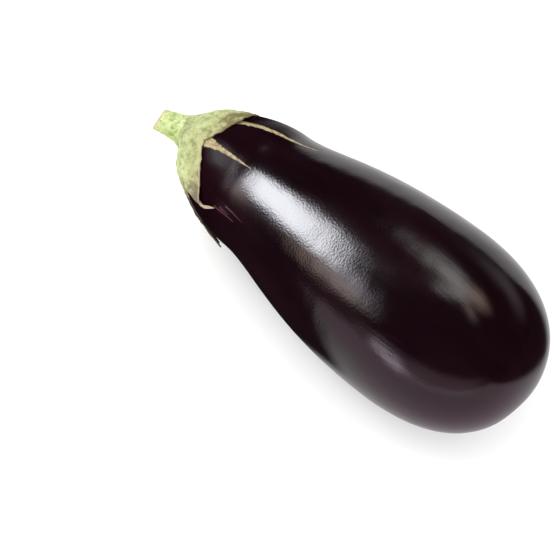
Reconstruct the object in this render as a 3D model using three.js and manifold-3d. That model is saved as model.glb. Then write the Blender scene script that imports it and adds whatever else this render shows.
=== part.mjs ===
// Eggplant lying on its side: a glossy purple fruit, the five-lobed green calyx that grips its
// shoulder, and the short cut stem it hung from. Millimetres, +Z up, blossom end towards +X, stem
// towards -X. Angles round the axis are 0 at the top and grow towards +Y.
import * as THREE from "three";
import { LoftGeometry } from "three/addons/geometries/LoftGeometry.js";
import { mergeVertices } from "three/addons/utils/BufferGeometryUtils.js";
import Module from "manifold-3d";

const DEGREE = Math.PI / 180;

// Fruit: stations run along the axis from the blossom pole
const FRUIT_LENGTH = 208.5;
const BELLY_RADIUS = 46;
const BELLY_STATION = 63.6;
const NECK_RADIUS = 32.1;
const NECK_STATION = 161.5;
const NECK_TAPER = 0.023;         // radius lost for each millimetre along the neck
const BLOSSOM_ROUNDNESS = 33.5;   // the curve's handles: how far each stretch keeps its direction
const BLOSSOM_REACH = 35.8;
const BELLY_REACH = 57.2;
const NECK_REACH = 20.1;
const SHOULDER_REACH = 18.5;
const SHOULDER_ROUNDNESS = 19.2;
const BEND_RADIUS = 972;          // the axis is an arc this wide, lowest at the bend station
const BEND_STATION = 56.6;
const BEND_ANGLE = -22.3 * DEGREE;
const FRUIT_COLUMNS = 64;
const FRUIT_ROWS = 44;

// Calyx: arcs are lengths along the skin from the stem pole
const GAP = 0.3;                  // clear space between neighbouring pieces
// [degrees, arc] of each lobe's tip and of the notch after it, and the curves of the two sides that
// meet in the notch: above 1 a side is hollow and leaves a fine point, below 1 it is full.
const LOBES = [
  { tip: [22, 41.5], notch: [82, 33], curves: [1.3, 1.2] },
  { tip: [115, 48], notch: [148, 35], curves: [1.2, 1.2] },
  { tip: [180, 51], notch: [212, 34], curves: [1.2, 1.2] },
  { tip: [246, 60], notch: [256, 33], curves: [2, 4] },
  { tip: [290.5, 51], notch: [339, 33], curves: [1, 0.55] },
];
const CROWN_ARC = 22;             // where the blade ends and the cone up to the stem begins
const CROWN_THICKNESS = 2.2;
const RIM_THICKNESS = 0.8;
const MIDRIB = 0.6;
const TIP_CURL = 1.4;             // lift of a lobe's tip off the skin
const CURL_LENGTH = 14;
const CONE_EASE = 0.3;            // share of the cone that follows the blade, and the stem
const SIDE_COLUMNS = 10;          // columns from each notch to each tip
const BLADE_ROWS = 8;
const CONE_ROWS = 7;

// Stem: heights are lengths along its middle line from the stem pole
const STEM_FOOT_RADIUS = 6.7;
const STEM_CUT_RADIUS = 5.3;
const STEM_TAPER = 2;
const STEM_FLARE = 1.4;
const FLARE_LENGTH = 3;
const COLLAR_HEIGHT = 6;          // where the stem leaves the calyx
const STEM_LEAN = new THREE.Vector3(-17.9, -6.5, 4.8);  // stem pole to the middle of the cut
const STEM_STRAIGHT = 4;          // length over which it keeps the fruit's direction
const CUT_SLANT = 16 * DEGREE;    // the cut leans towards the cut angle
const CUT_ANGLE = 10 * DEGREE;
const STEM_COLUMNS = 40;
const STEM_ROWS = 10;

// Rest
const REST_TILT = -8.75 * DEGREE; // stem end lower than the blossom end
const FLAT_DEPTH = 1;             // depth of the small flat spot it lies on

const profile = new THREE.Path();
profile.moveTo(0, 0);
profile.bezierCurveTo(
  0, BLOSSOM_ROUNDNESS,
  BELLY_STATION - BLOSSOM_REACH, BELLY_RADIUS,
  BELLY_STATION, BELLY_RADIUS,
);
profile.bezierCurveTo(
  BELLY_STATION + BELLY_REACH, BELLY_RADIUS,
  NECK_STATION - NECK_REACH, NECK_RADIUS + NECK_REACH * NECK_TAPER,
  NECK_STATION, NECK_RADIUS,
);
profile.bezierCurveTo(
  NECK_STATION + SHOULDER_REACH, NECK_RADIUS - SHOULDER_REACH * NECK_TAPER,
  FRUIT_LENGTH, SHOULDER_ROUNDNESS,
  FRUIT_LENGTH, 0,
);
const meridian = profile.getLength();

function radial(angle) {
  return new THREE.Vector3(0, Math.sin(angle), Math.cos(angle));
}

function axisPoint(station) {
  const rise = (station - BEND_STATION) ** 2 / (2 * BEND_RADIUS);
  return radial(BEND_ANGLE).multiplyScalar(rise).setX(-station);
}

// A point on the skin, or lifted off it along its normal
function skinPoint(arc, angle, lift = 0) {
  const along = 1 - arc / meridian;
  const place = profile.getPoint(along);
  const run = profile.getTangent(along);
  const radius = place.y + lift * run.x;
  return axisPoint(place.x - lift * run.y).addScaledVector(radial(angle), radius);
}

const stemPole = axisPoint(FRUIT_LENGTH);
const poleDirection = stemPole.clone().sub(axisPoint(FRUIT_LENGTH - 1));
const stemLine = new THREE.QuadraticBezierCurve3(
  stemPole,
  stemPole.clone().addScaledVector(poleDirection, STEM_STRAIGHT),
  stemPole.clone().add(STEM_LEAN),
);
const stemLength = stemLine.getLength();

// A point on the stem's side at a height above the stem pole, or outside it
function stemPoint(height, angle, outside = 0, slant = 0) {
  const share = height / stemLength;
  const centre = stemLine.getPointAt(share);
  const direction = stemLine.getTangentAt(share);
  const upward = radial(0).projectOnPlane(direction).normalize();
  const sideways = new THREE.Vector3().crossVectors(direction, upward);
  const flare = STEM_FLARE * Math.exp((COLLAR_HEIGHT - height) / FLARE_LENGTH);
  const radius = STEM_CUT_RADIUS + STEM_TAPER * (1 - share) + flare + outside;
  return centre
    .addScaledVector(upward, radius * Math.cos(angle))
    .addScaledVector(sideways, radius * Math.sin(angle))
    .addScaledVector(direction, -radius * Math.tan(slant) * Math.cos(angle - CUT_ANGLE));
}

// Where a column of the calyx stands: its angle, how far it reaches and how near a tip it is
function rimColumns() {
  const corners = LOBES.flatMap(({ tip, notch }) => [tip, notch]);
  const columns = [];
  corners.forEach(([angle, arc], index) => {
    const [nextAngle, nextArc] = corners[(index + 1) % corners.length];
    const turn = (nextAngle - angle + 360) % 360;
    const leavesTip = index % 2 === 0;
    const curve = LOBES[Math.floor(index / 2)].curves[index % 2];
    for (let step = 0; step < SIDE_COLUMNS; step += 1) {
      const share = step / SIDE_COLUMNS;
      const nearTip = leavesTip ? 1 - share : share;
      const tipArc = leavesTip ? arc : nextArc;
      const notchArc = leavesTip ? nextArc : arc;
      columns.push({
        angle: (angle + share * turn) * DEGREE,
        reach: notchArc + (tipArc - notchArc) * nearTip ** curve,
        nearTip,
      });
    }
  });
  return columns;
}

// Height of the blade's underside over the skin: a gap, and more where a tip curls up
function underLift(arc, { reach, nearTip }) {
  const curl = Math.max(0, 1 - (reach - arc) / CURL_LENGTH) ** 2;
  return GAP + TIP_CURL * nearTip ** 4 * curl;
}

// The blade's upper side, from the crown at share 0 to the rim at share 1
function bladePoint(column, share) {
  const arc = CROWN_ARC + (column.reach - CROWN_ARC) * share;
  const midrib = MIDRIB * column.nearTip ** 2 * share * (1 - share);
  const thickness = CROWN_THICKNESS + (RIM_THICKNESS - CROWN_THICKNESS) * share + midrib;
  return skinPoint(arc, column.angle, underLift(arc, column) + thickness);
}

// The line from the crown up to the stem in one column of the calyx
function coneLine(column) {
  const crown = bladePoint(column, 0);
  const inward = crown.clone().sub(bladePoint(column, 0.1)).normalize();
  const collar = stemPoint(COLLAR_HEIGHT, column.angle, GAP);
  const downward = collar.clone().sub(stemPoint(COLLAR_HEIGHT + 1, column.angle, GAP)).normalize();
  const ease = CONE_EASE * crown.distanceTo(collar);
  return new THREE.CubicBezierCurve3(
    crown,
    crown.clone().addScaledVector(inward, ease),
    collar.clone().addScaledVector(downward, ease),
    collar,
  );
}

function evenAngles(count) {
  return Array.from({ length: count }, (_, index) => (index / count) * 2 * Math.PI);
}

function steps(from, to, count) {
  return Array.from({ length: count + 1 }, (_, index) => from + ((to - from) * index) / count);
}

// Rings from one pole to the other, or round a closed section, sewn to one closed surface
function sewn(rings) {
  const geometry = new THREE.BufferGeometry().copy(new LoftGeometry(rings));
  geometry.deleteAttribute("normal");
  geometry.deleteAttribute("uv");
  return mergeVertices(geometry, 1e-4);
}

function fruitSkin() {
  const angles = evenAngles(FRUIT_COLUMNS);
  const arcs = steps(meridian, 0, FRUIT_ROWS);
  return sewn(arcs.map((arc) => angles.map((angle) => skinPoint(arc, angle))));
}

function calyxBlade() {
  const columns = rimColumns();
  const holeArc = STEM_FOOT_RADIUS + GAP;
  const underside = steps(0, 1, BLADE_ROWS + CONE_ROWS).map((share) => columns.map((column) => {
    const arc = holeArc + (column.reach - holeArc) * share;
    return skinPoint(arc, column.angle, underLift(arc, column));
  }));
  const blade = steps(1, 0, BLADE_ROWS).map((share) => columns.map((column) => bladePoint(column, share)));
  const lines = columns.map(coneLine);
  const cone = steps(0, 1, CONE_ROWS).slice(1).map((share) => lines.map((line) => line.getPoint(share)));
  return sewn([...underside, ...blade, ...cone, underside[0]]);
}

function stemSolid() {
  const angles = evenAngles(STEM_COLUMNS);
  const foot = steps(0, STEM_FOOT_RADIUS, 2).map((arc) => angles.map((angle) => skinPoint(arc, angle, GAP)));
  const heights = steps(COLLAR_HEIGHT, stemLength, STEM_ROWS);
  const side = heights.map((height, row) => {
    const slant = row === STEM_ROWS ? CUT_SLANT : 0;
    return angles.map((angle) => stemPoint(height, angle, 0, slant));
  });
  const cutMiddle = angles.map(() => stemLine.getPoint(1));
  return sewn([...foot, ...side, cutMiddle]);
}

const wasm = await Module();
wasm.setup();

function toManifold(geometry) {
  const vertProperties = new Float32Array(geometry.attributes.position.array);
  const triVerts = new Uint32Array(geometry.index.array);
  return new wasm.Manifold(new wasm.Mesh({ numProp: 3, vertProperties, triVerts }));
}

function toGeometry(manifold) {
  const { vertProperties, triVerts } = manifold.getMesh();
  const geometry = new THREE.BufferGeometry();
  geometry.setAttribute("position", new THREE.BufferAttribute(vertProperties, 3));
  geometry.setIndex(new THREE.BufferAttribute(triVerts, 1));
  return geometry;
}

// The fruit, turned to the way it lies, with its lowest skin pressed flat
function restingFruit() {
  const whole = fruitSkin().rotateY(REST_TILT);
  whole.computeBoundingBox();
  const { min, max } = whole.boundingBox;
  const length = 2 * (max.x - min.x);
  const block = new THREE.BoxGeometry(length, length, FLAT_DEPTH * 2).translate(0, 0, min.z);
  block.deleteAttribute("normal");
  block.deleteAttribute("uv");
  return toGeometry(toManifold(whole).subtract(toManifold(mergeVertices(block))));
}

function piece(name, geometry, colour, roughness) {
  geometry.computeVertexNormals();
  const material = new THREE.MeshStandardMaterial({ color: colour, roughness, metalness: 0 });
  const mesh = new THREE.Mesh(geometry, material);
  mesh.name = name;
  return mesh;
}

const eggplant = new THREE.Group();
eggplant.name = "eggplant";
eggplant.add(piece("fruit", restingFruit(), 0x1f0d18, 0.2));
eggplant.add(piece("calyx", calyxBlade().rotateY(REST_TILT), 0xb4bd86, 0.6));
eggplant.add(piece("stem", stemSolid().rotateY(REST_TILT), 0xcdd79b, 0.6));

// The middle of the underside goes to the origin
const box = new THREE.Box3().setFromObject(eggplant, true);
const middle = box.getCenter(new THREE.Vector3());
eggplant.position.set(-middle.x, -middle.y, -box.min.z);

export default eggplant;
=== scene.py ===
# Eggplant lying on a pale floor, seen from above: the fruit, its calyx and stem, then the studio.
import math

import bpy
import numpy as np
from mathutils import Matrix, Vector, noise


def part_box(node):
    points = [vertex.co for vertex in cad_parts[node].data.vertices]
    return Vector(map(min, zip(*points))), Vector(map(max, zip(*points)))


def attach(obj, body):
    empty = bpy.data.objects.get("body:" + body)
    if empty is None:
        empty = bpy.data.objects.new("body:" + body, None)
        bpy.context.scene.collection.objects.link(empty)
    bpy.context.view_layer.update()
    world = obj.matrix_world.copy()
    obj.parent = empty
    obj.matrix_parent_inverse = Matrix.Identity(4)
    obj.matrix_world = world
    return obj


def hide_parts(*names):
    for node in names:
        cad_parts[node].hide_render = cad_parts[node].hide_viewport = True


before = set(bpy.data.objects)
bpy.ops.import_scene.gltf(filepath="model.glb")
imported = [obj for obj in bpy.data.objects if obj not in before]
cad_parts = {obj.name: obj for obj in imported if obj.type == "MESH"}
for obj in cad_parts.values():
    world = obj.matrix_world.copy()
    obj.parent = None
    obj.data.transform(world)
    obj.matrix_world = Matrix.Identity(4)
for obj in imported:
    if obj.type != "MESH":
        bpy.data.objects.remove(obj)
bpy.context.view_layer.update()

# Fruit: one fleshy berry with a thin waxy skin, almost black, wide at the blossom end and drawn in to
# a neck. It lies on its side on a small flat spot. Its sizes are in millimetres, with arcs measured
# along the skin from the stem pole and angles round the axis, 0 at the top and growing towards +Y.
FRUIT_LENGTH = 208.5
BELLY_RADIUS = 46
BELLY_STATION = 63.6
NECK_RADIUS = 32.1
NECK_STATION = 161.5
NECK_TAPER = 0.023
BLOSSOM_ROUNDNESS = 33.5
BLOSSOM_REACH = 35.8
BELLY_REACH = 57.2
NECK_REACH = 20.1
SHOULDER_REACH = 18.5
SHOULDER_ROUNDNESS = 19.2
BEND_RADIUS = 972
BEND_STATION = 56.6
BEND_ANGLE = math.radians(-22.3)
REST_TILT = math.radians(-8.75)
FLAT_DEPTH = 1
PROFILE_STEPS = 400
PLAIN_COLUMNS = 720               # for measuring the plain skin
FRUIT_COLUMNS = 320
FRUIT_ROWS = 260
FLUTES = 5                        # faint swellings round the neck
FLUTE_DEPTH = 0.35
FLUTE_TURN = 0.9
FLUTE_ARCS = (150, 30)            # where they begin and where they are full
UNEVENNESS = 0.5
UNEVEN_SIZE = 55
BLOSSOM_SCAR = (226, 180)         # arc and degrees: low on the blossom end
BLOSSOM_SCAR_RADIUS = 0.003       # metres
BLOSSOM_DIMPLE = 1.2
BLOSSOM_DIMPLE_RADIUS = 7
SKIN_RING = 40                    # radius of the ring that carries the skin's pattern round the axis


def bezier(start, leaving, arriving, end):
    share = np.linspace(0, 1, PROFILE_STEPS)[:, None]
    first, second, third, last = (np.array(point, float) for point in (start, leaving, arriving, end))
    rest = 1 - share
    return rest**3 * first + 3 * rest**2 * share * second + 3 * rest * share**2 * third + share**3 * last


shoulder = bezier(
    (FRUIT_LENGTH, 0),
    (FRUIT_LENGTH, SHOULDER_ROUNDNESS),
    (NECK_STATION + SHOULDER_REACH, NECK_RADIUS - SHOULDER_REACH * NECK_TAPER),
    (NECK_STATION, NECK_RADIUS),
)
body = bezier(
    (NECK_STATION, NECK_RADIUS),
    (NECK_STATION - NECK_REACH, NECK_RADIUS + NECK_REACH * NECK_TAPER),
    (BELLY_STATION + BELLY_REACH, BELLY_RADIUS),
    (BELLY_STATION, BELLY_RADIUS),
)
blossom = bezier(
    (BELLY_STATION, BELLY_RADIUS),
    (BELLY_STATION - BLOSSOM_REACH, BELLY_RADIUS),
    (0, BLOSSOM_ROUNDNESS),
    (0, 0),
)
profile = np.vstack([shoulder, body[1:], blossom[1:]])
profile_arcs = np.concatenate([[0], np.cumsum(np.linalg.norm(np.diff(profile, axis=0), axis=1))])
profile_runs = np.gradient(profile, profile_arcs, axis=0)
meridian = profile_arcs[-1]


def radial(angle):
    angle = np.asarray(angle, float)
    return np.stack([np.zeros_like(angle), np.sin(angle), np.cos(angle)], axis=-1)


def axis_point(station):
    station = np.asarray(station, float)
    rise = (station - BEND_STATION) ** 2 / (2 * BEND_RADIUS)
    point = rise[..., None] * radial(BEND_ANGLE)
    point[..., 0] = -station
    return point


def skin_point(arc, angle, lift=0.0):
    """A point on the skin, or lifted off it along its normal."""
    arc, angle, lift = np.broadcast_arrays(np.asarray(arc, float), angle, lift)
    station, radius = (np.interp(arc, profile_arcs, profile[:, axis]) for axis in (0, 1))
    station_run, radius_run = (np.interp(arc, profile_arcs, profile_runs[:, axis]) for axis in (0, 1))
    lifted_radius = radius - lift * station_run
    return axis_point(station + lift * radius_run) + lifted_radius[..., None] * radial(angle)


def turned(points):
    """The way the fruit lies: its own frame turned about Y."""
    cosine, sine = math.cos(REST_TILT), math.sin(REST_TILT)
    x, y, z = np.moveaxis(points, -1, 0)
    return np.stack([cosine * x + sine * z, y, cosine * z - sine * x], axis=-1)


def lumps(points, size, seed=0.0):
    """Smooth noise from -1 to 1 for each point, with swellings of about that size."""
    flat = np.asarray(points).reshape(-1, 3) / size + seed
    values = [noise.noise(Vector(point)) for point in flat]
    return np.array(values).reshape(points.shape[:-1])


def eased(low, high, value):
    share = np.clip((value - low) / (high - low), 0, 1)
    return share * share * (3 - 2 * share)


plain_angles = np.linspace(0, 2 * np.pi, PLAIN_COLUMNS)[None, :]
plain_skin = turned(skin_point(profile_arcs[:, None], plain_angles))
fruit_low, fruit_high = (np.array(corner) * 1000 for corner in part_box("fruit"))
shift = np.array([
    fruit_high[0] - plain_skin[..., 0].max(),
    (fruit_low[1] + fruit_high[1] - plain_skin[..., 1].min() - plain_skin[..., 1].max()) / 2,
    -plain_skin[..., 2].min() - FLAT_DEPTH,
])


def placed(points):
    """From the fruit's own frame to the row's, in metres."""
    return (turned(points) + shift) / 1000


def sewn(name, rings, start=None, end=None, loop=False):
    """A mesh over rings of points, closed by a middle point at an end or as a loop of rings."""
    rows, columns, _ = rings.shape
    points = [rings.reshape(-1, 3)]
    faces = []
    for row in range(rows if loop else rows - 1):
        here = row * columns
        there = (row + 1) % rows * columns
        for column in range(columns):
            after = (column + 1) % columns
            faces.append((here + column, here + after, there + after, there + column))
    count = rows * columns
    for middle, ring, outward in ((start, 0, -1), (end, rows - 1, 1)):
        if middle is None:
            continue
        points.append(np.asarray(middle, float).reshape(1, 3))
        for column in range(columns):
            pair = (ring * columns + column, ring * columns + (column + 1) % columns)
            faces.append((*pair[::outward], count))
        count += 1
    mesh = bpy.data.meshes.new(name)
    mesh.from_pydata(np.vstack(points).tolist(), [], faces)
    mesh.shade_smooth()
    piece = bpy.data.objects.new(name, mesh)
    bpy.context.scene.collection.objects.link(piece)
    return piece


def give(piece, name, values):
    """Stores a value, a vector or a colour for each point of a piece, for its material to read."""
    values = np.asarray(values, np.float32)
    kind = "FLOAT" if values.ndim == 1 else "FLOAT_VECTOR"
    field = "value" if values.ndim == 1 else "vector"
    attribute = piece.data.attributes.new(name, kind, "POINT")
    attribute.data.foreach_set(field, values.ravel())


def linear(red, green, blue):
    """A colour as seen on a screen, 0 to 255, as light."""
    shares = np.array([red, green, blue]) / 255
    return np.where(shares <= 0.04045, shares / 12.92, ((shares + 0.055) / 1.055) ** 2.4)


def colour(red, green, blue):
    return (*linear(red, green, blue), 1.0)


def add(tree, kind, inputs=None, **settings):
    """A shader node with its settings made and its inputs set or linked."""
    made = tree.nodes.new(kind)
    for name, value in settings.items():
        setattr(made, name, value)
    for name, value in (inputs or {}).items():
        if isinstance(value, bpy.types.NodeSocket):
            tree.links.new(value, made.inputs[name])
        else:
            made.inputs[name].default_value = value
    return made


def maths(tree, operation, first, second=0.0, third=0.0):
    return add(tree, "ShaderNodeMath", {0: first, 1: second, 2: third}, operation=operation).outputs[0]


def vectors(tree, operation, first, second=(0.0, 0.0, 0.0)):
    made = add(tree, "ShaderNodeVectorMath", {0: first, 1: second}, operation=operation)
    return made.outputs["Value" if operation in ("DOT_PRODUCT", "DISTANCE") else "Vector"]


def spread(tree, value, from_low, from_high, to_low=0.0, to_high=1.0, smooth=True):
    made = add(tree, "ShaderNodeMapRange", {
        "Value": value,
        "From Min": from_low,
        "From Max": from_high,
        "To Min": to_low,
        "To Max": to_high,
    }, interpolation_type="SMOOTHSTEP" if smooth else "LINEAR")
    return made.outputs["Result"]


def blended(tree, share, first, second):
    made = add(tree, "ShaderNodeMix", {0: share, 6: first, 7: second}, data_type="RGBA")
    return made.outputs[2]


def noisy(tree, vector, scale, detail=2.0, roughness=0.5):
    made = add(tree, "ShaderNodeTexNoise", {
        "Vector": vector,
        "Scale": scale,
        "Detail": detail,
        "Roughness": roughness,
    })
    return made.outputs["Fac"]


def attribute_of(tree, name, output="Vector"):
    return add(tree, "ShaderNodeAttribute", attribute_name=name).outputs[output]


def new_material(name):
    material = bpy.data.materials.new(name)
    material.use_nodes = True
    tree = material.node_tree
    tree.nodes.clear()
    surface = add(tree, "ShaderNodeBsdfPrincipled")
    output = add(tree, "ShaderNodeOutputMaterial")
    tree.links.new(surface.outputs[0], output.inputs["Surface"])
    return material, tree, surface


fruit_arcs = np.linspace(meridian, 0, FRUIT_ROWS + 2)[1:-1, None]
fruit_angles = np.linspace(0, 2 * np.pi, FRUIT_COLUMNS, endpoint=False)[None, :]
skin = skin_point(fruit_arcs, fruit_angles)
neck_share = eased(*FLUTE_ARCS, fruit_arcs)
flutes = FLUTE_DEPTH * neck_share * np.cos(FLUTES * fruit_angles + FLUTE_TURN)
blossom_scar = skin_point(BLOSSOM_SCAR[0], math.radians(BLOSSOM_SCAR[1]))
scar_distance = np.linalg.norm(skin - blossom_scar, axis=-1)
dimple = BLOSSOM_DIMPLE * np.exp(-((scar_distance / BLOSSOM_DIMPLE_RADIUS) ** 2))
skin = skin_point(fruit_arcs, fruit_angles, flutes + UNEVENNESS * lumps(skin, UNEVEN_SIZE) - dimple)
blossom_pole = skin_point(meridian, 0.0)
stem_pole = skin_point(0.0, 0.0)


def pressed(points):
    """The skin never goes below the floor: the flat spot."""
    points[..., 2] = np.maximum(points[..., 2], 0)
    return points


fruit = sewn("fruit_skin", pressed(placed(skin)), placed(blossom_pole), placed(stem_pole))
pattern = np.stack(np.broadcast_arrays(
    SKIN_RING * np.cos(fruit_angles),
    SKIN_RING * np.sin(fruit_angles),
    fruit_arcs,
), axis=-1).reshape(-1, 3)
give(fruit, "skin", np.vstack([pattern, [[0, 0, meridian], [0, 0, 0]]]))

# Corky scars and scratches in the skin, each from one place to another: (arc, degrees)
SCARS = [
    {"from": (32, -20.5), "to": (45, -18.3), "half_width": (3.3, 1.2)},
    {"from": (45, -18.3), "to": (65, -16.5), "half_width": (1.2, 0.12)},
    {"from": (37, 16.5), "to": (50.5, 24), "half_width": (1.5, 1.4)},
    {"from": (50.5, 24), "to": (68, 31), "half_width": (1.4, 0.7)},
    {"from": (68, 31), "to": (79, 34), "half_width": (0.7, 0.12)},
]
SCRATCHES = [
    {"from": (58, -63), "to": (71, -62), "half_width": (0.45, 0.15)},
    {"from": (61, -60), "to": (67, -60.5), "half_width": (0.35, 0.12)},
    {"from": (64, -55.5), "to": (76, -56), "half_width": (0.4, 0.1)},
]
MARK_SOFTNESS = 0.15              # how far a mark's side fades, in millimetres
MARK_END = 0.04                   # and its ends, as a share of its length
MARK_DEPTH = (-25, -15)           # millimetres below the skin there, so that the far side stays clear


def mark(tree, place, wander, marks):
    """How much a point of the skin belongs to one of the marks, 0 to 1, with ragged sides."""
    total = 0.0
    for item in marks:
        (start_arc, start_degrees), (end_arc, end_degrees) = item["from"], item["to"]
        start = Vector(placed(skin_point(start_arc, math.radians(start_degrees))))
        end = Vector(placed(skin_point(end_arc, math.radians(end_degrees))))
        above = Vector(placed(skin_point(start_arc, math.radians(start_degrees), 1.0))) - start
        run = end - start
        across = run.cross(above).normalized()
        offset = vectors(tree, "SUBTRACT", place, start)
        along = maths(tree, "DIVIDE", vectors(tree, "DOT_PRODUCT", offset, run), run.length_squared)
        aside = maths(tree, "ABSOLUTE", vectors(tree, "DOT_PRODUCT", offset, across * 1000))
        wide, narrow = item["half_width"]
        edge = maths(tree, "MULTIPLY", spread(tree, along, 0.0, 1.0, wide, narrow, smooth=False), wander)
        amount = spread(tree, maths(tree, "SUBTRACT", aside, edge), MARK_SOFTNESS, -MARK_SOFTNESS)
        begun = spread(tree, along, -MARK_END, 0.0)
        ended = spread(tree, along, 1 + MARK_END, 1.0)
        this_side = spread(tree, vectors(tree, "DOT_PRODUCT", offset, above * 1e6), *MARK_DEPTH)
        for limit in (begun, ended, this_side):
            amount = maths(tree, "MULTIPLY", amount, limit)
        total = maths(tree, "MAXIMUM", total, amount)
    return total


SKIN_TONES = ((15, 4, 8), (23, 6, 12))
STRIA_TONE = (36, 15, 22)
CORK_TONES = ((110, 94, 66), (182, 168, 132))
SCRATCH_TONE = (96, 50, 64)
SKIN_ROUGHNESS = (0.12, 0.2)
SKIN_IOR = 1.42
DULL_ARCS = (59, 73)              # beside the calyx the skin is dull, and further on it turns waxy
DULL_AND_WAXY = (0.03, 0.5)
POLE_ARCS = (225, 185)            # towards the blossom pole the relief dies away
STRIA_ARCS = (120, 170)           # fine streaks along the fruit, strongest on the belly
STRIA_RELIEF = (0.15, 1.3)
PORE_ARCS = (110, 170)            # pores, strongest on the neck
PORE_RELIEF = (1.0, 0.45)
WAVE_RELIEF = 4.0
SCAR_RELIEF = 0.4
SKIN_RELIEF = 0.000038            # metres


def skin_material():
    material, tree, surface = new_material("eggplant_skin")
    place = add(tree, "ShaderNodeTexCoord").outputs["Object"]
    ring = attribute_of(tree, "skin")
    arc = add(tree, "ShaderNodeSeparateXYZ", {"Vector": ring}).outputs["Z"]
    off_pole = spread(tree, arc, *POLE_ARCS)
    drawn_out = vectors(tree, "MULTIPLY", ring, (1.0, 1.0, 0.05))
    striae = maths(tree, "MULTIPLY", noisy(tree, drawn_out, 0.7, 3.0, 0.6), off_pole)
    pores = add(tree, "ShaderNodeTexVoronoi", {"Vector": ring, "Scale": 1.0}).outputs["Distance"]
    waves = noisy(tree, ring, 0.12, 0.0)
    clouds = noisy(tree, vectors(tree, "MULTIPLY", ring, (1.0, 1.0, 0.35)), 0.045, 3.0)
    wander = spread(tree, noisy(tree, ring, 0.8, 3.0, 0.7), 0.3, 0.7, 0.7, 1.25)
    scar = mark(tree, place, wander, SCARS)
    scratch = mark(tree, place, wander, SCRATCHES)

    skin_tones = (colour(*tone) for tone in SKIN_TONES)
    base = blended(tree, spread(tree, clouds, 0.35, 0.7), *skin_tones)
    streaked = blended(tree, spread(tree, striae, 0.55, 0.8, 0.0, 0.3), base, colour(*STRIA_TONE))
    scratched = blended(tree, maths(tree, "MULTIPLY", scratch, 0.6), streaked, colour(*SCRATCH_TONE))
    cork_tones = (colour(*tone) for tone in CORK_TONES)
    cork_grain = noisy(tree, vectors(tree, "MULTIPLY", ring, (1.0, 1.0, 0.25)), 1.6, 3.0, 0.7)
    cork = blended(tree, spread(tree, cork_grain, 0.36, 0.62), *cork_tones)
    from_blossom = vectors(tree, "DISTANCE", place, tuple(placed(blossom_scar)))
    blossom_edge = maths(tree, "MULTIPLY", wander, BLOSSOM_SCAR_RADIUS)
    blossom_mark = spread(tree, maths(tree, "SUBTRACT", from_blossom, blossom_edge), 0.0003, -0.0003)
    marked = blended(tree, maths(tree, "MAXIMUM", scar, blossom_mark), scratched, cork)
    tree.links.new(marked, surface.inputs["Base Color"])

    scar_dull = maths(tree, "MULTIPLY", scar, 0.5)
    scratch_dull = maths(tree, "MULTIPLY", scratch, 0.2)
    sheen = spread(tree, clouds, 0.3, 0.7, *SKIN_ROUGHNESS)
    roughness = maths(tree, "ADD", sheen, maths(tree, "MAXIMUM", scar_dull, scratch_dull))
    tree.links.new(roughness, surface.inputs["Roughness"])
    surface.inputs["IOR"].default_value = SKIN_IOR
    wavering_arc = maths(tree, "MULTIPLY_ADD", clouds, 8.0, arc)
    waxy = spread(tree, wavering_arc, *DULL_ARCS, *DULL_AND_WAXY)
    tree.links.new(waxy, surface.inputs["Specular IOR Level"])

    streaky = maths(tree, "MULTIPLY", striae, spread(tree, arc, *STRIA_ARCS, *STRIA_RELIEF))
    grainy = maths(tree, "MULTIPLY", pores, spread(tree, arc, *PORE_ARCS, *PORE_RELIEF))
    relief = maths(tree, "MULTIPLY_ADD", waves, WAVE_RELIEF, maths(tree, "ADD", streaky, grainy))
    relief = maths(tree, "MULTIPLY", relief, off_pole)
    raised = maths(tree, "ADD", relief, maths(tree, "MULTIPLY", scar, SCAR_RELIEF))
    bump = add(tree, "ShaderNodeBump", {"Height": raised, "Strength": 1.0, "Distance": SKIN_RELIEF})
    tree.links.new(bump.outputs[0], surface.inputs["Normal"])
    return material


fruit.data.materials.append(skin_material())
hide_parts("fruit")
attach(fruit, "root")

# Stem: the short stalk it hung from, pale green and faintly ridged, with a dry tan cut. Its flared
# foot goes down through the calyx to the fruit's shoulder, and its side runs on into the calyx.
STEM_CUT_RADIUS = 5.3
STEM_TAPER = 2
STEM_FOOT_RADIUS = 6.3
FOOT_GAP = 0.4
STEM_FLARE = 1.4
FLARE_LENGTH = 3
COLLAR_HEIGHT = 6                 # where the stem leaves the calyx, above the stem pole
STEM_LEAN = np.array([-17.9, -6.5, 4.8])
STEM_STRAIGHT = 4
STEM_RIDGES = 5
STEM_RIDGE_DEPTH = 0.3
STEM_RIDGE_TURN = 0.5
CUT_SLANT = math.radians(16)
CUT_ANGLE = math.radians(10)
SLANT_LENGTH = 3                  # how far below the cut its slant begins
LINE_STEPS = 400
STEM_COLUMNS = 300
STEM_ROWS = 60
TENON_ROWS = 6
TENON_END = 0.95                  # share of the way from the foot to the collar
CUT_RINGS = 12
CUT_MIDDLE = 0.06
CUT_BUMPS = 0.25
CUT_BUMP = (1.4, 9.0)             # size and seed
STEM_BUMPS = 0.42
STEM_BUMP = (2.6, 3.0)
STEM_FINE_BUMP = (1.1, 5.0)
STEM_FINE_SHARE = 0.6
BUMP_START = 2                    # height above the collar where the bumps are full

pole = axis_point(FRUIT_LENGTH)
pole_direction = pole - axis_point(FRUIT_LENGTH - 1)
pole_direction /= np.linalg.norm(pole_direction)
stem_bend = pole + STEM_STRAIGHT * pole_direction
stem_end = pole + STEM_LEAN
line_shares = np.linspace(0, 1, LINE_STEPS)[:, None]
stem_line = (
    (1 - line_shares) ** 2 * pole
    + 2 * (1 - line_shares) * line_shares * stem_bend
    + line_shares**2 * stem_end
)
line_heights = np.concatenate([[0], np.cumsum(np.linalg.norm(np.diff(stem_line, axis=0), axis=1))])
line_runs = np.gradient(stem_line, line_heights, axis=0)
stem_length = line_heights[-1]


def along_line(values, height):
    return np.stack([np.interp(height, line_heights, values[:, axis]) for axis in range(3)], axis=-1)


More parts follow.
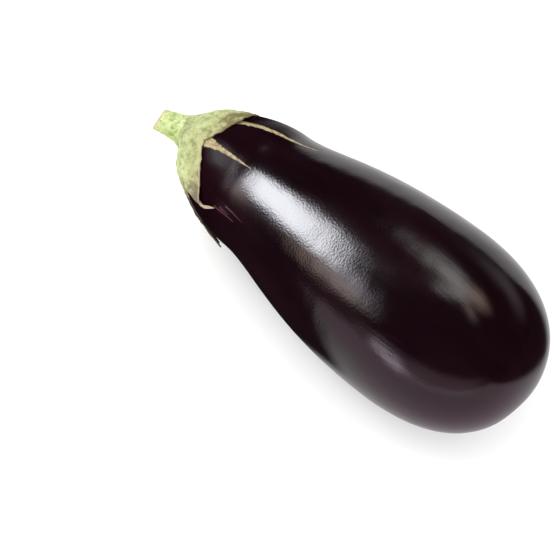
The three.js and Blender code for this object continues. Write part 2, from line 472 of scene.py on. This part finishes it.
def unit(vector):
    return vector / np.linalg.norm(vector, axis=-1, keepdims=True)


def stem_point(height, angle, inside=0.0):
    """A point on the stem's side at a height above the stem pole, or somewhat inside it."""
    height, angle = np.broadcast_arrays(np.asarray(height, float), angle)
    direction = unit(along_line(line_runs, height))
    upward = unit(radial(0.0) - direction * (direction @ radial(0.0))[..., None])
    sideways = np.cross(direction, upward)
    share = height / stem_length
    flare = STEM_FLARE * np.exp((COLLAR_HEIGHT - height) / FLARE_LENGTH)
    ridges = STEM_RIDGE_DEPTH * np.cos(STEM_RIDGES * (angle - STEM_RIDGE_TURN))
    radius = STEM_CUT_RADIUS + STEM_TAPER * (1 - share) + flare + ridges - inside
    near_cut = eased(stem_length - SLANT_LENGTH, stem_length, height)
    slant = np.tan(CUT_SLANT) * near_cut * radius * np.cos(angle - CUT_ANGLE)
    return (
        along_line(stem_line, height)
        + upward * (radius * np.cos(angle))[..., None]
        + sideways * (radius * np.sin(angle))[..., None]
        - direction * slant[..., None]
    )


def normals(rings):
    """The outward direction at each point of a grid of rings."""
    along = np.gradient(rings, axis=0)
    around = np.roll(rings, -1, axis=1) - np.roll(rings, 1, axis=1)
    return unit(np.cross(around, along))


stem_angles = np.linspace(0, 2 * np.pi, STEM_COLUMNS, endpoint=False)[None, :]
stem_heights = np.linspace(COLLAR_HEIGHT, stem_length, STEM_ROWS)[:, None]
stem_side = stem_point(stem_heights, stem_angles)
fine_bumps = STEM_FINE_SHARE * lumps(stem_side, *STEM_FINE_BUMP)
bumps = STEM_BUMPS * (lumps(stem_side, *STEM_BUMP) + fine_bumps)
fade = eased(COLLAR_HEIGHT, COLLAR_HEIGHT + BUMP_START, stem_heights)
stem_side = stem_side + normals(stem_side) * (bumps * fade)[..., None]
foot = skin_point(STEM_FOOT_RADIUS, stem_angles, FOOT_GAP)
tenon_shares = np.linspace(0, TENON_END, TENON_ROWS)[:, None, None]
tenon = foot + (stem_point(COLLAR_HEIGHT, stem_angles, inside=FOOT_GAP) - foot) * tenon_shares
cut_shares = np.linspace(1, CUT_MIDDLE, CUT_RINGS)[1:, None]
cut_middle = along_line(stem_line, stem_length)
cut_face = cut_middle + (stem_side[-1] - cut_middle) * cut_shares[..., None]
cut_face = cut_face + CUT_BUMPS * lumps(cut_face, *CUT_BUMP)[..., None] * pole_direction
stem_rings = np.concatenate([tenon, stem_side, cut_face])
stem = sewn("stem_stalk", placed(stem_rings), placed(tenon[0].mean(axis=0)), placed(cut_middle))
stem_rows = len(stem_rings)
tenon_heights = COLLAR_HEIGHT * tenon_shares[:, 0, 0]
along_stem = np.concatenate([tenon_heights, stem_heights[:, 0], np.full(CUT_RINGS - 1, stem_length)])
on_cut = np.concatenate([np.zeros(TENON_ROWS + STEM_ROWS), 1 - cut_shares[:, 0]])
give(stem, "height", np.append(np.repeat(along_stem, STEM_COLUMNS), [0, stem_length]))
give(stem, "cut", np.append(np.repeat(on_cut, STEM_COLUMNS), [0, 1]))
# Painted shade: how deep each point of the stem's side lies in a hollow between its bumps
shaded_hollows = np.zeros((stem_rows, STEM_COLUMNS))
shaded_hollows[TENON_ROWS:TENON_ROWS + STEM_ROWS] = np.clip(-bumps / STEM_BUMPS, 0, 1) * fade
give(stem, "crease_shade", np.append(shaded_hollows.ravel(), [0, 0]))
give(stem, "round", np.vstack([
    np.stack(np.broadcast_arrays(
        STEM_CUT_RADIUS * np.cos(stem_angles),
        STEM_CUT_RADIUS * np.sin(stem_angles),
        along_stem[:, None],
    ), axis=-1).reshape(-1, 3),
    np.zeros((2, 3)),
]))


GREEN_TONES = ((204, 214, 156), (164, 178, 110))
FIBRE_TONE = (152, 168, 92)
FLECK_TONE = (112, 100, 62)


def green_tissue(tree, place, drawn_out):
    """Pale green of the stem and the middle of the calyx: blotches, fibres and small brown flecks."""
    blotches = noisy(tree, place, 210.0, 4.0, 0.65)
    fibres = noisy(tree, drawn_out, 2.0, 3.0, 0.65)
    flecks = noisy(tree, place, 760.0, 2.0, 0.6)
    pale = blended(tree, spread(tree, blotches, 0.38, 0.66), *(colour(*tone) for tone in GREEN_TONES))
    streaked = blended(tree, spread(tree, fibres, 0.48, 0.7, 0.0, 0.6), pale, colour(*FIBRE_TONE))
    flecked = blended(tree, spread(tree, flecks, 0.6, 0.72, 0.0, 0.6), streaked, colour(*FLECK_TONE))
    return flecked, fibres, blotches


# Painted shade for the stem's hollows, then the dry side and the pith of the cut
STEM_HOLLOW_SHADE_TONE = (118, 140, 52)
STEM_DRY_TONE = (190, 168, 120)
PITH_TONES = ((148, 112, 66), (232, 218, 172))
DRY_BAND = (-0.4, 1.2)            # heights from the cut over which the side dries out
DRY_RAGGED = 1.6
STEM_ROUGHNESS = 0.55
STEM_GLOSS = 0.35
STEM_RELIEF = 0.0004              # metres


def stem_material():
    material, tree, surface = new_material("eggplant_stem")
    place = add(tree, "ShaderNodeTexCoord").outputs["Object"]
    drawn_out = vectors(tree, "MULTIPLY", attribute_of(tree, "round"), (1.0, 1.0, 0.15))
    green, fibres, _ = green_tissue(tree, place, drawn_out)
    height = attribute_of(tree, "height", "Fac")
    cut = attribute_of(tree, "cut", "Fac")
    grain = noisy(tree, place, 1500.0, 3.0, 0.7)
    # Painted shade: darker green where the stem's side dips into a hollow
    hollow_shade = spread(tree, attribute_of(tree, "crease_shade", "Fac"), 0.05, 0.7, 0.14, 0.8)
    hollow_shaded = blended(tree, hollow_shade, green, colour(*STEM_HOLLOW_SHADE_TONE))
    ragged_height = maths(tree, "ADD", height, maths(tree, "MULTIPLY", grain, DRY_RAGGED))
    drying = spread(tree, ragged_height, *(stem_length + edge for edge in DRY_BAND))
    dried = blended(tree, drying, hollow_shaded, colour(*STEM_DRY_TONE))
    pith = blended(tree, spread(tree, grain, 0.4, 0.62), *(colour(*tone) for tone in PITH_TONES))
    faced = blended(tree, spread(tree, cut, 0.02, 0.12), dried, pith)
    tree.links.new(faced, surface.inputs["Base Color"])
    surface.inputs["Roughness"].default_value = STEM_ROUGHNESS
    surface.inputs["Specular IOR Level"].default_value = STEM_GLOSS
    relief = maths(tree, "ADD", fibres, maths(tree, "MULTIPLY", grain, 0.5))
    bump = add(tree, "ShaderNodeBump", {"Height": relief, "Strength": 0.5, "Distance": STEM_RELIEF})
    tree.links.new(bump.outputs[0], surface.inputs["Normal"])
    return material


stem.data.materials.append(stem_material())
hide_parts("stem")
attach(stem, "root")

# Calyx: the leathery green cap on the shoulder, five uneven lobes joined round the stem. It is thick
# by the stem and thins to dry ragged edges that lift off the skin here and there.
# Each lobe has the degrees and arc of its tip and of the notch after it, how its two sides curve in, how
# dry it is, from what share of its length, and in which tones.
LOBES = [
    {"tip": (22, 41.5), "notch": (82, 33), "curves": (1.3, 1.2), "dry": 1.0, "dry_from": 0.25,
     "dry_colour": (116, 106, 60), "rim_colour": (128, 110, 74)},
    {"tip": (115, 48), "notch": (148, 35), "curves": (1.2, 1.2), "dry": 0.5, "dry_from": 0.3,
     "dry_colour": (140, 126, 80), "rim_colour": (170, 150, 112)},
    {"tip": (180, 51), "notch": (212, 34), "curves": (1.2, 1.2), "dry": 0.5, "dry_from": 0.3,
     "dry_colour": (136, 120, 78), "rim_colour": (170, 150, 112)},
    {"tip": (246, 60), "notch": (256, 33), "curves": (2, 4), "dry": 1.2, "dry_from": -0.1,
     "dry_colour": (66, 50, 38), "rim_colour": (70, 50, 38)},
    {"tip": (290.5, 51), "notch": (339, 33), "curves": (1, 0.55), "dry": 0.85, "dry_from": 0.35,
     "dry_colour": (118, 104, 80), "rim_colour": (184, 164, 132)},
]
CROWN_ARC = 22                    # where the blade ends and the cone up to the stem begins
CROWN_THICKNESS = 2.2
RIM_THICKNESS = 0.55
CALYX_GAP = 0.15
MIDRIB = 0.6
TIP_CURL = 1.4
CURL_LENGTH = 14
CONE_EASE = 0.3
EDGE_LIFT = 0.9
EDGE_LIFT_LENGTH = 5
LOOSE_EDGE = (7.0, 23.0)          # size and seed
LOOSE_SHARE = 0.25
RAGGED = 0.7
TEARS = ((1.0, 2.2, 11.0), (0.6, 0.9, 13.0), (1.2, 6.0, 17.0))      # share, size and seed of each
WRINKLES = 0.42
RAYS = (2.4, 29.0)                # wrinkles that run out from the stem: size and seed
RAY_LENGTH = 12
CREASES = ((0.8, 3.2, 31.0), (0.5, 1.3, 37.0))
DRYING_LENGTH = 0.6               # share of a lobe over which it goes from green to dry
CALM_RIM = 0.9                    # share of the blade's length from which the wrinkles die away
CALM_COLLAR = 6                   # rows below the stem over which they do
CALYX_RING = 30                   # radius of the ring that carries the pattern round the stem
SIDE_COLUMNS = 60
BLADE_ROWS = 44
UNDER_ROWS = 14
CONE_ROWS = 30
HOLE_ARC = 6

corners = [corner for lobe in LOBES for corner in (lobe["tip"], lobe["notch"])]
column_angles, column_reaches, nearness, lobe_of = [], [], [], []
for index, (angle, arc) in enumerate(corners):
    next_angle, next_arc = corners[(index + 1) % len(corners)]
    turn = (next_angle - angle) % 360
    leaves_tip = index % 2 == 0
    curve = LOBES[index // 2]["curves"][index % 2]
    tip_arc, notch_arc = (arc, next_arc) if leaves_tip else (next_arc, arc)
    for step in range(SIDE_COLUMNS):
        share = step / SIDE_COLUMNS
        near = 1 - share if leaves_tip else share
        column_angles.append(math.radians(angle + share * turn))
        column_reaches.append(notch_arc + (tip_arc - notch_arc) * near**curve)
        nearness.append(near)
        lobe_of.append((index + (0 if leaves_tip else 1)) // 2 % len(LOBES))
calyx_angles = np.array(column_angles)[None, :]
near_tip = np.array(nearness)[None, :]
plain_reach = np.array(column_reaches)[None, :]
rim_line = skin_point(plain_reach, calyx_angles)
tears = sum(share * lumps(rim_line, size, seed) for share, size, seed in TEARS)
reach = plain_reach + RAGGED * tears
loose_edge = EDGE_LIFT * np.clip(lumps(rim_line, *LOOSE_EDGE) + LOOSE_SHARE, 0, 1)


def under_lift(arc):
    curl = np.clip(1 - (reach - arc) / CURL_LENGTH, 0, 1) ** 2
    loose = np.clip(1 - (reach - arc) / EDGE_LIFT_LENGTH, 0, 1) ** 2
    return CALYX_GAP + TIP_CURL * near_tip**4 * curl + loose_edge * loose


def blade_point(share):
    """The blade's upper side, from the crown at share 0 to the rim at share 1."""
    arc = CROWN_ARC + (reach - CROWN_ARC) * share
    thickness = CROWN_THICKNESS + (RIM_THICKNESS - CROWN_THICKNESS) * share
    midrib = MIDRIB * near_tip**6 * share * (1 - share) * 4
    return skin_point(arc, calyx_angles, under_lift(arc) + thickness + midrib)


blade_shares = np.linspace(1, 0, BLADE_ROWS)[:, None]
blade = blade_point(blade_shares)
crown = blade[-1:]
collar = stem_point(COLLAR_HEIGHT, calyx_angles)
inward = unit(crown - blade_point(0.1))
downward = unit(collar - stem_point(COLLAR_HEIGHT + 1, calyx_angles))
ease = CONE_EASE * np.linalg.norm(collar - crown, axis=-1, keepdims=True)
cone_shares = np.linspace(0, 1, CONE_ROWS + 1)[1:, None, None]
cone = (
    (1 - cone_shares) ** 3 * crown
    + 3 * (1 - cone_shares) ** 2 * cone_shares * (crown + inward * ease)
    + 3 * (1 - cone_shares) * cone_shares**2 * (collar + downward * ease)
    + cone_shares**3 * collar
)
top = np.concatenate([blade, cone])
top_shares = np.concatenate([blade_shares[:, 0], np.zeros(CONE_ROWS)])
stretched = np.stack(np.broadcast_arrays(
    CALYX_RING * np.cos(calyx_angles),
    CALYX_RING * np.sin(calyx_angles),
    np.linspace(RAY_LENGTH, 0, len(top))[:, None],
), axis=-1)
creases = sum(share * lumps(top, size, seed) for share, size, seed in CREASES)
wrinkles = WRINKLES * (lumps(stretched, *RAYS) + creases)
below_collar = np.arange(len(top))[::-1]
calm = (eased(1.0, CALM_RIM, top_shares) * eased(0, CALM_COLLAR, below_collar))[:, None]
top = top + normals(top) * (wrinkles * calm)[..., None]
under_arcs = HOLE_ARC + (reach - HOLE_ARC) * np.linspace(0, 1, UNDER_ROWS)[:, None]
under = skin_point(under_arcs, calyx_angles, under_lift(under_arcs))
calyx = sewn("calyx_cap", placed(np.concatenate([under, top])), loop=True)

row_shares = np.concatenate([np.linspace(0, 1, UNDER_ROWS), top_shares])
shape = (len(row_shares), calyx_angles.size)
edge_distance = np.broadcast_to((reach - CROWN_ARC) * (1 - row_shares[:, None]), shape)
dryness, dry_from = (np.array([LOBES[lobe][key] for lobe in lobe_of]) for key in ("dry", "dry_from"))
towards_tip = row_shares[:, None] * (0.4 + 0.6 * near_tip)
dry = dryness * eased(dry_from, dry_from + DRYING_LENGTH, towards_tip)
# Painted shade: how deep each point of the calyx lies in a wrinkle's hollow, fading out by the rim and the
# stem
top_shaded_hollows = np.clip(-wrinkles / WRINKLES, 0, 1) * calm
shaded_hollows = np.concatenate([np.zeros(under.shape[:2]), top_shaded_hollows])
give(calyx, "crease_shade", shaded_hollows.ravel())
give(calyx, "edge", edge_distance.ravel())
give(calyx, "dry", np.broadcast_to(dry, shape).ravel())
for key in ("dry_colour", "rim_colour"):
    tones = np.array([linear(*LOBES[lobe][key]) for lobe in lobe_of])
    give(calyx, key, np.broadcast_to(tones[None, :, :], (*shape, 3)).reshape(-1, 3))
give(calyx, "round", np.stack(np.broadcast_arrays(
    CALYX_RING * np.cos(calyx_angles),
    CALYX_RING * np.sin(calyx_angles),
    edge_distance,
), axis=-1).reshape(-1, 3))


GREY_TONE = (170, 168, 114)
# Painted shade for the hollows of the calyx's wrinkles
CREASE_SHADE_TONE = (108, 108, 58)
SPOT_TONE = (92, 80, 48)
CALYX_ROUGHNESS = 0.62
CALYX_GLOSS = 0.3
CALYX_RELIEF = 0.0008             # metres


def calyx_material():
    material, tree, surface = new_material("eggplant_calyx")
    place = add(tree, "ShaderNodeTexCoord").outputs["Object"]
    drawn_out = vectors(tree, "MULTIPLY", attribute_of(tree, "round"), (1.0, 1.0, 0.2))
    green, fibres, blotches = green_tissue(tree, place, drawn_out)
    edge = attribute_of(tree, "edge", "Fac")
    dry = attribute_of(tree, "dry", "Fac")
    dry_colour = attribute_of(tree, "dry_colour", "Color")
    rim_colour = attribute_of(tree, "rim_colour", "Color")
    grain = noisy(tree, place, 1000.0, 4.0, 0.7)
    greyed = blended(tree, spread(tree, edge, 22.0, 4.0, 0.0, 0.6), green, colour(*GREY_TONE))
    patches = maths(tree, "MULTIPLY_ADD", blotches, 2.4, -1.2)
    dry_share = spread(tree, maths(tree, "ADD", dry, patches), 0.1, 0.9)
    withered = blended(tree, dry_share, greyed, dry_colour)
    # Painted shade: darker olive in the hollows of the wrinkles
    crease_shade = spread(tree, attribute_of(tree, "crease_shade", "Fac"), 0.05, 0.8, 0.0, 0.5)
    crease_shaded = blended(tree, crease_shade, withered, colour(*CREASE_SHADE_TONE))
    ragged_edge = maths(tree, "ADD", edge, maths(tree, "MULTIPLY", grain, -1.2))
    rimmed = blended(tree, spread(tree, ragged_edge, 0.4, -0.5, 0.0, 0.85), crease_shaded, rim_colour)
    spotted = blended(tree, spread(tree, grain, 0.56, 0.7, 0.0, 0.5), rimmed, colour(*SPOT_TONE))
    tree.links.new(spotted, surface.inputs["Base Color"])
    surface.inputs["Roughness"].default_value = CALYX_ROUGHNESS
    surface.inputs["Specular IOR Level"].default_value = CALYX_GLOSS
    relief = maths(tree, "ADD", fibres, maths(tree, "MULTIPLY", grain, 0.7))
    bump = add(tree, "ShaderNodeBump", {"Height": relief, "Strength": 0.9, "Distance": CALYX_RELIEF})
    tree.links.new(bump.outputs[0], surface.inputs["Normal"])
    return material


calyx_finish = calyx_material()
calyx.data.materials.append(calyx_finish)
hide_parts("calyx")
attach(calyx, "root")

# Curl: the dried-up tip of the calyx's lobe on the near side, a narrow tan sliver of the same leathery
# tissue. It grows out of the lobe's rim and curls away over the skin.
CURL = [                          # arc, degrees, lift off the skin and half width along it
    (47, -71, 0.8, 1.1),
    (51, -70.5, 1.3, 1.0),
    (53.5, -69, 1.7, 0.8),
    (56, -66, 1.4, 0.8),
    (59, -63, 0.9, 0.25),
]
CURL_THICKNESS = 0.7
CURL_BUMPS = 0.3
CURL_BUMP = (1.6, 41.0)           # size and seed
CURL_STEPS = 48
CURL_POINTS = 14
CURL_TONE = (176, 156, 134)
curl_knots = np.linspace(0, 1, len(CURL))
curl_shares = np.linspace(0, 1, CURL_STEPS)
curl_courses = [np.interp(curl_shares, curl_knots, course) for course in zip(*CURL)]
curl_arc, curl_degrees, curl_lift, curl_half = curl_courses
curl_line = skin_point(curl_arc, np.radians(curl_degrees), curl_lift)
curl_up = unit(skin_point(curl_arc, np.radians(curl_degrees), curl_lift + 1) - curl_line)
curl_across = np.cross(curl_up, unit(np.gradient(curl_line, axis=0)))
curl_turns = np.linspace(0, 2 * np.pi, CURL_POINTS, endpoint=False)[None, :, None]
curl_rings = (
    curl_line[:, None, :]
    + curl_across[:, None, :] * curl_half[:, None, None] * np.cos(curl_turns)
    + curl_up[:, None, :] * CURL_THICKNESS / 2 * np.sin(curl_turns)
)
curl_rings = curl_rings + CURL_BUMPS * lumps(curl_rings, *CURL_BUMP)[..., None] * curl_up[:, None, :]
curl_ends = (placed(curl_rings[end].mean(axis=0)) for end in (0, -1))
curl = sewn("calyx_curl", placed(curl_rings), *curl_ends)
curl_count = len(curl.data.vertices)
for key, value in (("edge", 1.0), ("dry", 1.0), ("crease_shade", 0.0)):
    give(curl, key, np.full(curl_count, value))
for key in ("dry_colour", "rim_colour"):
    give(curl, key, np.tile(linear(*CURL_TONE), (curl_count, 1)))
give(curl, "round", np.array([vertex.co for vertex in curl.data.vertices]) * 1000)
curl.data.materials.append(calyx_finish)
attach(curl, "root")

# Camera: a long lens looking steeply down on the fruit from its near side, with the stem at the upper
# left of the picture and the blossom end at the lower right. Nothing is out of focus.
VIEW_AZIMUTH = math.radians(45.72)
VIEW_ELEVATION = math.radians(62)
VIEW_DISTANCE = 0.958
VIEW_TARGET = Vector((-0.00874, -0.03216, 0.04201))
LENS = 135.1
SENSOR = 36
view_right = Vector((math.cos(VIEW_AZIMUTH), math.sin(VIEW_AZIMUTH), 0))
view_away = Vector((-math.sin(VIEW_AZIMUTH), math.cos(VIEW_AZIMUTH), 0))
view_up = Vector((0, 0, 1))
view_back = view_up * math.sin(VIEW_ELEVATION) - view_away * math.cos(VIEW_ELEVATION)
camera_data = bpy.data.cameras.new("camera")
camera_data.lens = LENS
camera_data.sensor_width = SENSOR
camera_data.dof.use_dof = False
camera = bpy.data.objects.new("camera", camera_data)
camera.location = VIEW_TARGET + view_back * VIEW_DISTANCE
camera.rotation_euler = (-view_back).to_track_quat("-Z", "Y").to_euler()
bpy.context.scene.collection.objects.link(camera)
bpy.context.scene.camera = camera

# Floor: a plain white matte sweep, far wider than the view, that the fruit lies on. Its colour in the
# gloss of the skin is painted shade: darker than it is, rosier in front and nearly black left and right.
FLOOR_SIZE = 6.0
FLOOR_TONES = ((0.9, 0.9, 0.9, 1), (0.93, 0.93, 0.93, 1))
FLOOR_GRAIN = 40.0
FLOOR_ROUGHNESS = 0.6
# Painted shade for the floor as the skin mirrors it: darker overall, rose-tinted in front, nearly black at
# the sides
GLOSS_SHADE_TONE = (0.62, 0.6, 0.62, 1)
FRONT_GLOSS_SHADE_TONE = (0.64, 0.5, 0.57, 1)
SHADE_TONE = (0.015, 0.01, 0.012, 1)
# Edges: which way each faces, right and away, and from where to where the tone changes, in metres
FRONT_EDGE = (0, -1, 0.06, 0.14)
LEFT_EDGES = ((-1, 0, 0.005, 0.03), (-0.148, 0.989, -0.068, -0.054))
RIGHT_EDGES = ((0.75, -0.66, 0.1, 0.145), (0.848, 0.53, 0.076, 0.105))
half = FLOOR_SIZE / 2
floor_corners = [(-half, -half, 0), (half, -half, 0), (half, half, 0), (-half, half, 0)]
floor_mesh = bpy.data.meshes.new("floor")
floor_mesh.from_pydata(floor_corners, [], [(0, 1, 2, 3)])
floor = bpy.data.objects.new("floor", floor_mesh)
bpy.context.scene.collection.objects.link(floor)
floor_material, floor_tree, floor_surface = new_material("floor")
floor_place = add(floor_tree, "ShaderNodeTexCoord").outputs["Object"]
floor_tint = blended(floor_tree, noisy(floor_tree, floor_place, FLOOR_GRAIN), *FLOOR_TONES)


def beyond(right, away, low, high):
    """How far a place on the floor lies past a straight edge that faces right and away, 0 to 1."""
    facing = view_right * right + view_away * away
    return spread(floor_tree, vectors(floor_tree, "DOT_PRODUCT", floor_place, facing), low, high)


left_shade, right_shade = (
    maths(floor_tree, "MULTIPLY", *(beyond(*edge) for edge in edges)) for edges in (LEFT_EDGES, RIGHT_EDGES)
)
shade = maths(floor_tree, "MAXIMUM", left_shade, right_shade)
# Painted reflection and shade: only glossy rays see the floor in these darker tones
painted_gloss_shade = blended(floor_tree, beyond(*FRONT_EDGE), GLOSS_SHADE_TONE, FRONT_GLOSS_SHADE_TONE)
painted_gloss_shade = blended(floor_tree, shade, painted_gloss_shade, SHADE_TONE)
in_gloss = add(floor_tree, "ShaderNodeLightPath").outputs["Is Glossy Ray"]
floor_seen = blended(floor_tree, in_gloss, floor_tint, painted_gloss_shade)
floor_tree.links.new(floor_seen, floor_surface.inputs["Base Color"])
floor_surface.inputs["Roughness"].default_value = FLOOR_ROUGHNESS
floor_surface.inputs["Specular IOR Level"].default_value = 0.0
floor.data.materials.append(floor_material)

# Light: soft-edged panels that show only in the gloss, on the left, overhead and in front, and an even
# white dome with a key and a fill that light the matte parts and the floor.
# Where each stands, seen from the fruit, and which way its long side runs: right, away, up
LIGHTS = [
    {"name": "softbox", "side": (-0.793, 0.357, 0.494), "long": (0.568, 0.701, 0.431), "distance": 1.2,
     "size": (0.9, 0.77), "soft": (0.31, 0.33), "glow": 29, "tint": (0.92, 0.94, 1.0), "seen": "gloss"},
    {"name": "softbox_tail", "side": (-0.841, -0.04, 0.54), "long": (0.568, 0.701, 0.431), "distance": 1.2,
     "size": (0.8, 0.4), "soft": (0.5, 0.5), "glow": 4.2, "tint": (0.94, 0.9, 1.0), "seen": "gloss"},
    {"name": "warm_panel", "side": (-0.927, -0.067, 0.369), "long": (0.568, 0.701, 0.431), "distance": 1.2,
     "size": (0.55, 0.6), "soft": (0.5, 0.5), "glow": 4.2, "tint": (1.0, 0.77, 0.68), "seen": "gloss"},
    {"name": "overhead", "side": (0.204, 0.505, 0.839), "long": (0.162, -0.388, 0.264), "distance": 1.3,
     "size": (1.15, 0.72), "soft": (0.45, 0.5), "glow": 4.8, "tint": (1.0, 0.97, 0.94), "seen": "gloss"},
    {"name": "overhead_warm", "side": (0.46, 0.28, 0.84), "long": (0.2, -0.5, 0.1), "distance": 1.3,
     "size": (0.8, 0.55), "soft": (0.5, 0.5), "glow": 3.6, "tint": (1.0, 0.68, 0.56), "seen": "gloss"},
    {"name": "ceiling", "side": (0.07, 0.28, 0.957), "long": (0.985, -0.174, 0.0), "distance": 1.3,
     "size": (0.7, 0.46), "soft": (0.5, 0.5), "glow": 2.8, "tint": (1.0, 0.95, 0.95), "seen": "gloss"},
    {"name": "ceiling_warm", "side": (0.282, 0.076, 0.956), "long": (0.259, -0.966, 0.0), "distance": 1.3,
     "size": (0.9, 0.4), "soft": (0.5, 0.5), "glow": 2.2, "tint": (1.0, 0.78, 0.68), "seen": "gloss"},
    {"name": "far_card", "side": (0.79, 0.554, 0.26), "long": (-0.57, 0.82, 0.0), "distance": 0.9,
     "size": (1.2, 0.5), "soft": (0.5, 0.5), "glow": 0.7, "tint": (1.0, 0.8, 0.86), "seen": "gloss"},
    {"name": "low_card", "side": (-0.755, -0.656, 0.055), "long": (0.2, -0.27, -0.17), "distance": 0.7,
     "size": (0.45, 0.22), "soft": (0.4, 0.5), "glow": 5, "tint": (0.95, 0.86, 1.0), "seen": "gloss"},
    {"name": "front_card", "side": (-0.342, -0.94, 0.14), "long": (0.94, -0.342, -0.05), "distance": 0.5,
     "size": (1.4, 0.27), "soft": (0.3, 0.3), "glow": 0.8, "tint": (1.0, 0.72, 0.85), "seen": "gloss"},
    {"name": "key", "side": (-0.7, 0.3, 0.65), "long": (0.33, 0.35, 0.2), "distance": 1.2,
     "size": (0.6, 0.4), "soft": (0.2, 0.2), "glow": 7, "tint": (1.0, 1.0, 0.97), "seen": "light"},
    {"name": "fill", "side": (0.1, -0.8, 0.6), "long": (1.0, 0.0, 0.0), "distance": 0.9,
     "size": (1.0, 0.6), "soft": (0.1, 0.1), "glow": 1.6, "tint": (1.0, 1.0, 1.0), "seen": "light"},
]
LIT_MIDDLE = Vector((0, 0, 0.045))
DOME_STRENGTH = 1.4


def in_view(right, away, up):
    return (view_right * right + view_away * away + view_up * up).normalized()


for item in LIGHTS:
    toward = in_view(*item["side"])
    wide = in_view(*item["long"])
    wide = (wide - toward * wide.dot(toward)).normalized()
    width, height = item["size"]
    light = bpy.data.lights.new(item["name"], "AREA")
    light.shape = "RECTANGLE"
    light.size = width
    light.size_y = height
    light.energy = item["glow"] * math.pi * width * height
    light.color = item["tint"]
    light.use_nodes = True
    tree = light.node_tree
    spot = add(tree, "ShaderNodeNewGeometry").outputs["Parametric"]
    glow = 1.0
    axes = add(tree, "ShaderNodeSeparateXYZ", {"Vector": spot}).outputs
    for axis, soft in zip(axes, item["soft"]):
        from_edge = maths(tree, "MINIMUM", axis, maths(tree, "SUBTRACT", 1.0, axis))
        glow = maths(tree, "MULTIPLY", glow, spread(tree, from_edge, 0.0, soft))
    tree.links.new(glow, tree.nodes["Emission"].inputs["Strength"])
    lamp = bpy.data.objects.new(item["name"], light)
    lamp.matrix_world = Matrix((wide, toward.cross(wide), toward)).transposed().to_4x4()
    lamp.location = LIT_MIDDLE + toward * item["distance"]
    lamp.visible_glossy = item["seen"] == "gloss"
    lamp.visible_diffuse = item["seen"] == "light"
    bpy.context.scene.collection.objects.link(lamp)
world = bpy.data.worlds.new("room")
world.use_nodes = True
background = world.node_tree.nodes["Background"]
background.inputs["Color"].default_value = (1, 1, 1, 1)
background.inputs["Strength"].default_value = DOME_STRENGTH
world.cycles_visibility.glossy = False
bpy.context.scene.world = world
bpy.context.scene.view_settings.view_transform = "Standard"
